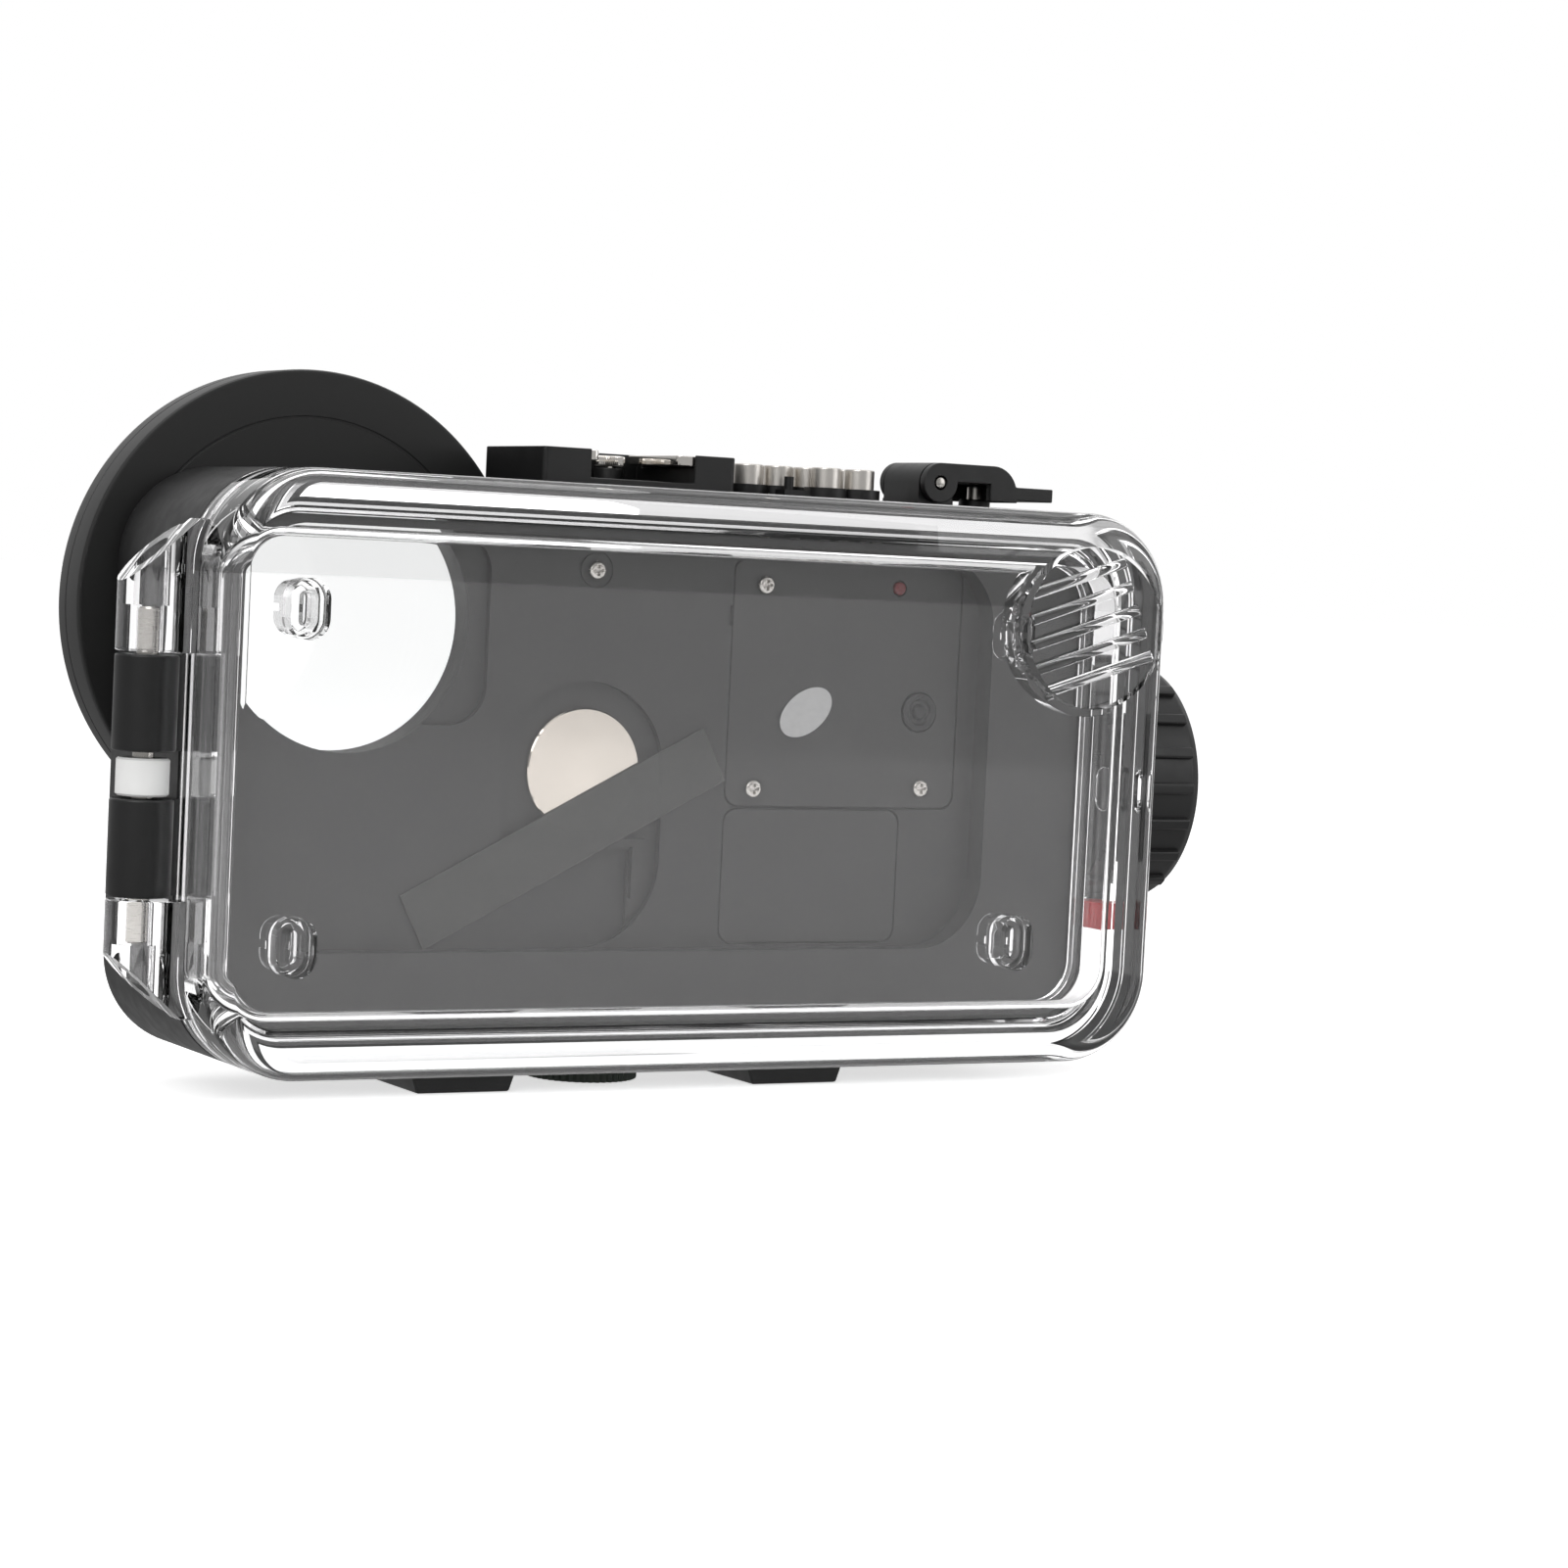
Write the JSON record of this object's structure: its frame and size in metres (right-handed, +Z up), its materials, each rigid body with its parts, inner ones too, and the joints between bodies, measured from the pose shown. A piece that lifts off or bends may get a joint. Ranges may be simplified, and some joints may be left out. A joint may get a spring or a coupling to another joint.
{
  "type": "underwater phone housing",
  "caption": "Hinged waterproof diving case for a phone: clear cover, black body, round lens port, latch knob, push buttons and a shutter lever on top.",
  "frame": {"origin": "bottom centre of the overall box: the floor under the two feet, midway in X and Y", "axes": "+Z up, +X towards the latch knob, -Y towards the diver and the clear cover, +Y towards what is filmed"},
  "size_m": [0.2434, 0.073, 0.141],
  "materials": {
    "clear_polycarbonate": "clear, polished",
    "black_plastic": "moulded, faint grain",
    "port_finish": "black anodised, satin",
    "port_glass": "clear, coated",
    "grey_plastic": "moulded, fine grain",
    "seal_rubber": "soft, satin",
    "brushed_steel": "turned, brushed",
    "polished_steel": "polished",
    "white_nylon": "moulded, satin",
    "red_plastic": "moulded, semi-gloss",
    "board_green": "solder mask",
    "cell_wrap": "printed wrap left plain",
    "grey_film": "smooth film",
    "silver_label": "printed foil left blank",
    "green_black_plastic": "moulded, satin"
  },
  "bodies": {
    "body": {"housing_body": "black_plastic", "electronics_bay": "black_plastic", "button_guard": "black_plastic", "shutter_collar": "black_plastic", "lever_bracket": "black_plastic", "shoe_block": "black_plastic", "foot_left": "black_plastic", "foot_right": "black_plastic", "vacuum_valve": "black_plastic", "pressure_sensor": "black_plastic", "port_housing": "port_finish", "glass_ring": "port_finish", "port_glass": "port_glass", "phone_tray": "grey_plastic", "electronics_cover": "grey_plastic", "battery_door": "grey_plastic", "cover_seal": "seal_rubber", "port_seal": "seal_rubber", "valve_seal": "seal_rubber", "shaft_seal": "seal_rubber", "hinge_pin": "brushed_steel", "tray_screw": "brushed_steel", "plate_screw_1": "brushed_steel", "plate_screw_2": "brushed_steel", "plate_screw_3": "brushed_steel", "lever_pin": "brushed_steel", "magnet_disc": "polished_steel", "shoe_rail_left": "polished_steel", "shoe_rail_right": "polished_steel", "hinge_sleeve": "white_nylon", "leak_led": "red_plastic", "circuit_board": "board_green", "battery_cell": "cell_wrap", "pull_strap": "grey_film", "inspection_label": "silver_label"},
    "cover": {"clear_cover": "clear_polycarbonate"},
    "knob": {"latch_knob": "black_plastic", "latch_shaft": "brushed_steel", "latch_cam": "brushed_steel", "knob_screw": "brushed_steel"},
    "lock": {"lock_slider": "red_plastic"},
    "lever": {"shutter_lever": "black_plastic"},
    "shutter": {"shutter_button": "brushed_steel"},
    "shoe_screw": {"shoe_lock_screw": "polished_steel"},
    "cap": {"valve_cap": "green_black_plastic"},
    "button_1": {"push_button_1": "brushed_steel", "button_clip_1": "brushed_steel"},
    "button_2": {"push_button_2": "brushed_steel", "button_clip_2": "brushed_steel"},
    "button_3": {"push_button_3": "brushed_steel", "button_clip_3": "brushed_steel"},
    "button_4": {"push_button_4": "brushed_steel", "button_clip_4": "brushed_steel"},
    "button_5": {"push_button_5": "brushed_steel", "button_clip_5": "brushed_steel"},
    "button_6": {"push_button_6": "brushed_steel", "button_clip_6": "brushed_steel"}
  },
  "joints": [
    {"name": "cover_hinge", "type": "hinge", "parent": "body", "child": "cover", "pos_m": [-0.11575, -0.0165, 0.0622], "axis": [0, 0, -1], "range_deg": [0, 115]},
    {"name": "latch_turn", "type": "hinge", "parent": "body", "child": "knob", "pos_m": [0.11145, 0.0035, 0.063], "axis": [1, 0, 0], "range_deg": [0, 270]},
    {"name": "lock_slide", "type": "slide", "parent": "body", "child": "lock", "axis": [0, 0, -1], "range_m": [0, 0.0025]},
    {"name": "button_press_1", "type": "slide", "parent": "body", "child": "button_1", "axis": [0, 0, -1], "range_m": [0, 0.0012], "stiffness_N_per_m": 1200, "springref_m": -0.0006},
    {"name": "button_press_2", "type": "slide", "parent": "body", "child": "button_2", "axis": [0, 0, -1], "range_m": [0, 0.0012], "stiffness_N_per_m": 1200, "springref_m": -0.0006},
    {"name": "button_press_3", "type": "slide", "parent": "body", "child": "button_3", "axis": [0, 0, -1], "range_m": [0, 0.0012], "stiffness_N_per_m": 1200, "springref_m": -0.0006},
    {"name": "button_press_4", "type": "slide", "parent": "body", "child": "button_4", "axis": [0, 0, -1], "range_m": [0, 0.0012], "stiffness_N_per_m": 1200, "springref_m": -0.0006},
    {"name": "button_press_5", "type": "slide", "parent": "body", "child": "button_5", "axis": [0, 0, -1], "range_m": [0, 0.0012], "stiffness_N_per_m": 1200, "springref_m": -0.0006},
    {"name": "button_press_6", "type": "slide", "parent": "body", "child": "button_6", "axis": [0, 0, -1], "range_m": [0, 0.0012], "stiffness_N_per_m": 1200, "springref_m": -0.0006},
    {"name": "lever_press", "type": "hinge", "parent": "body", "child": "lever", "pos_m": [0.06065, 0.0005, 0.1254], "axis": [0, 1, 0], "range_deg": [0, 4], "stiffness_Nm_per_rad": 0.5, "springref_deg": -2.86},
    {"name": "shutter_press", "type": "slide", "parent": "body", "child": "shutter", "axis": [0, 0, -1], "range_m": [0, 0.001]},
    {"name": "shoe_screw_turn", "type": "hinge", "parent": "body", "child": "shoe_screw", "pos_m": [-0.00685, 0.0123, 0.1252], "axis": [0, 0, 1], "range_deg": [0, 720]},
    {"name": "cap_turn", "type": "hinge", "parent": "body", "child": "cap", "pos_m": [-0.01195, 0.003, 0.0022], "axis": [0, 0, 1], "range_deg": [0, 720]}
  ],
  "couplings": [
    {"joint": "shutter_press", "follows": "lever_press", "m_per_rad": 0.0142}
  ]
}
